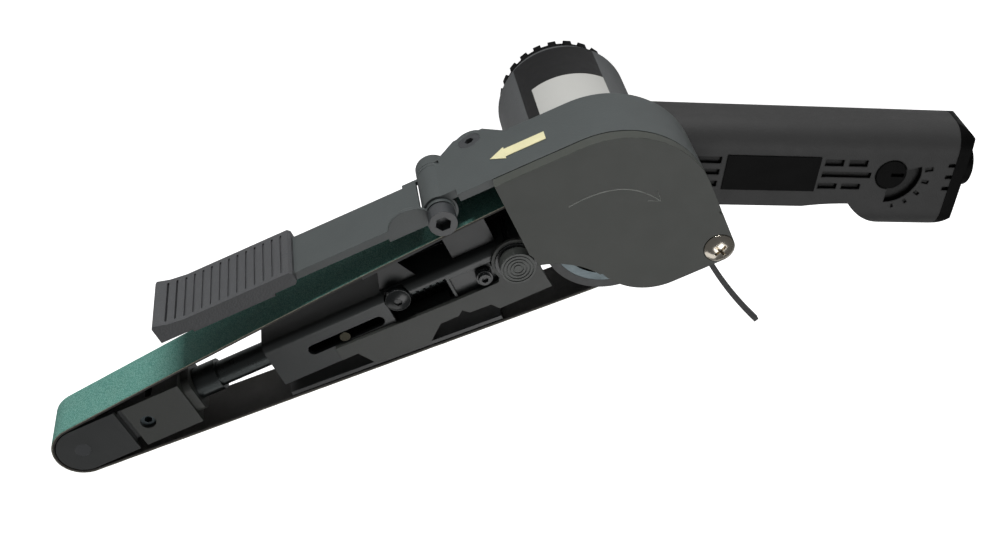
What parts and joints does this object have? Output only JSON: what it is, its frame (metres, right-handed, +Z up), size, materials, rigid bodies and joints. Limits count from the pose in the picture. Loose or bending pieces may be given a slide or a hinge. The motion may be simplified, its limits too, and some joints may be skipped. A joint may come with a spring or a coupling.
{
  "type": "belt sander",
  "caption": "Air powered hand belt sander: a motor across the handle drives a narrow abrasive belt round a spring loaded nose roller.",
  "frame": {"origin": "middle of the motor cap's flat outer face, on the drive axis", "axes": "+Z up along the drive axis from the motor cap to the side cover, -X along the arm to the nose roller, +Y to the side of the belt guard"},
  "size_m": [0.3515, 0.1272, 0.1026],
  "materials": {
    "abrasive": "green grit on cloth",
    "alloy": "machined",
    "black_plastic": "matt black",
    "bronze": "brass",
    "casting": "grey coated casting",
    "composite": "textured composite",
    "dark_sheet": "dark grey coated steel sheet",
    "dark_steel": "black oxide",
    "decal_cream": "printed film",
    "decal_silver": "printed film",
    "felt": "felt",
    "iron": "honed",
    "nickel": "bright nickel",
    "painted_cover": "satin olive grey paint",
    "painted_housing": "satin grey paint",
    "phenolic": "phenolic",
    "rubber_black": "black rubber",
    "rubber_grey": "grey rubber",
    "steel": "machined"
  },
  "bodies": {
    "motor": {"motor_housing": "casting", "motor_cap": "black_plastic", "cylinder_liner": "iron", "front_end_plate": "alloy", "rear_end_plate": "alloy", "front_bearing": "steel", "rear_bearing": "steel", "barrel_band": "decal_silver", "handle_grip": "composite", "name_plate": "black_plastic", "end_cap": "black_plastic", "inlet_bushing": "steel", "inlet_screen": "bronze", "exhaust_muffler": "felt", "valve_sleeve": "alloy", "lever_pin": "steel", "valve_spring": "steel"},
    "drive": {"rotor": "steel", "vanes": "phenolic", "drive_hub": "alloy", "drive_tyre": "rubber_grey", "drive_screw": "steel"},
    "head": {"belt_housing": "painted_housing", "side_cover": "painted_cover", "cover_screw": "nickel", "clamp_screw": "dark_steel", "direction_arrow": "decal_cream", "spark_flap": "rubber_black", "arm_channel": "dark_sheet", "arm_screws": "steel", "tube_guides": "dark_sheet", "side_plate": "painted_cover", "platen": "dark_sheet", "upper_platen": "dark_sheet", "set_screw": "dark_steel", "button_collar": "dark_steel", "button_spring": "steel", "hinge_bolt": "steel", "hinge_nut": "steel", "sanding_belt": "abrasive", "tension_spring": "steel"},
    "guard": {"belt_guard": "painted_housing", "finger_grip": "composite", "grip_rivets": "steel"},
    "nose": {"tension_tube": "dark_steel", "nose_fork": "casting", "nose_yoke": "casting", "yoke_screw": "dark_steel", "roller_axle": "dark_steel", "guide_pin": "steel"},
    "roller": {"nose_roller": "steel", "roller_bearings": "steel"},
    "button": {"release_button": "painted_cover"},
    "tracking": {"tracking_screw": "dark_steel"},
    "lever": {"throttle_lever": "dark_sheet", "catch_pin": "steel"},
    "catch": {"lever_catch": "black_plastic"},
    "valve": {"throttle_valve": "steel", "valve_seal": "rubber_black"},
    "regulator": {"regulator_knob": "black_plastic"}
  },
  "joints": [
    {"name": "head_swing", "type": "hinge", "parent": "motor", "child": "head", "pos_m": [0, 0, 0.066], "axis": [0, 0, 1], "range_deg": [-90, 90]},
    {"name": "motor_spin", "type": "hinge", "parent": "motor", "child": "drive", "pos_m": [0, 0, 0.03], "axis": [0, 0, 1], "continuous": true},
    {"name": "guard_lift", "type": "hinge", "parent": "head", "child": "guard", "pos_m": [-0.0482, 0.0304, 0.08], "axis": [0, 0, -1], "range_deg": [0, 95]},
    {"name": "nose_slide", "type": "slide", "parent": "head", "child": "nose", "axis": [1, 0, 0], "range_m": [0, 0.011], "stiffness_N_per_m": 1200, "springref_m": -0.012, "deforming": ["tension_spring"]},
    {"name": "roller_spin", "type": "hinge", "parent": "nose", "child": "roller", "pos_m": [-0.2034, 0, 0.084], "axis": [0, 0, 1], "continuous": true},
    {"name": "button_press", "type": "slide", "parent": "head", "child": "button", "axis": [0, 0, -1], "range_m": [0, 0.003], "stiffness_N_per_m": 600, "springref_m": -0.003, "deforming": ["button_spring"]},
    {"name": "tracking_turn", "type": "hinge", "parent": "head", "child": "tracking", "pos_m": [-0.076, 0.0055, 0.09], "axis": [0, 0, 1], "range_deg": [-180, 180]},
    {"name": "lever_squeeze", "type": "hinge", "parent": "motor", "child": "lever", "pos_m": [0.0392, -0.02209, 0.0296], "axis": [-0.4909, -0.8712, 0], "range_deg": [0, 3.8], "stiffness_Nm_per_rad": 3, "springref_deg": -8.59},
    {"name": "catch_tip", "type": "hinge", "parent": "lever", "child": "catch", "pos_m": [0.08015, -0.04516, 0.0261], "axis": [-0.4909, -0.8712, 0], "range_deg": [0, 35]},
    {"name": "valve_slide", "type": "slide", "parent": "motor", "child": "valve", "axis": [0, 0, 1], "range_m": [0, 0.00199], "deforming": ["valve_spring"]},
    {"name": "regulator_turn", "type": "hinge", "parent": "motor", "child": "regulator", "pos_m": [0.10305, -0.05749, 0.055], "axis": [0, 0, 1], "range_deg": [-84, 12]}
  ],
  "couplings": [
    {"joint": "roller_spin", "follows": "motor_spin", "ratio": 2.3737},
    {"joint": "valve_slide", "follows": "lever_squeeze", "m_per_rad": 0.03}
  ]
}
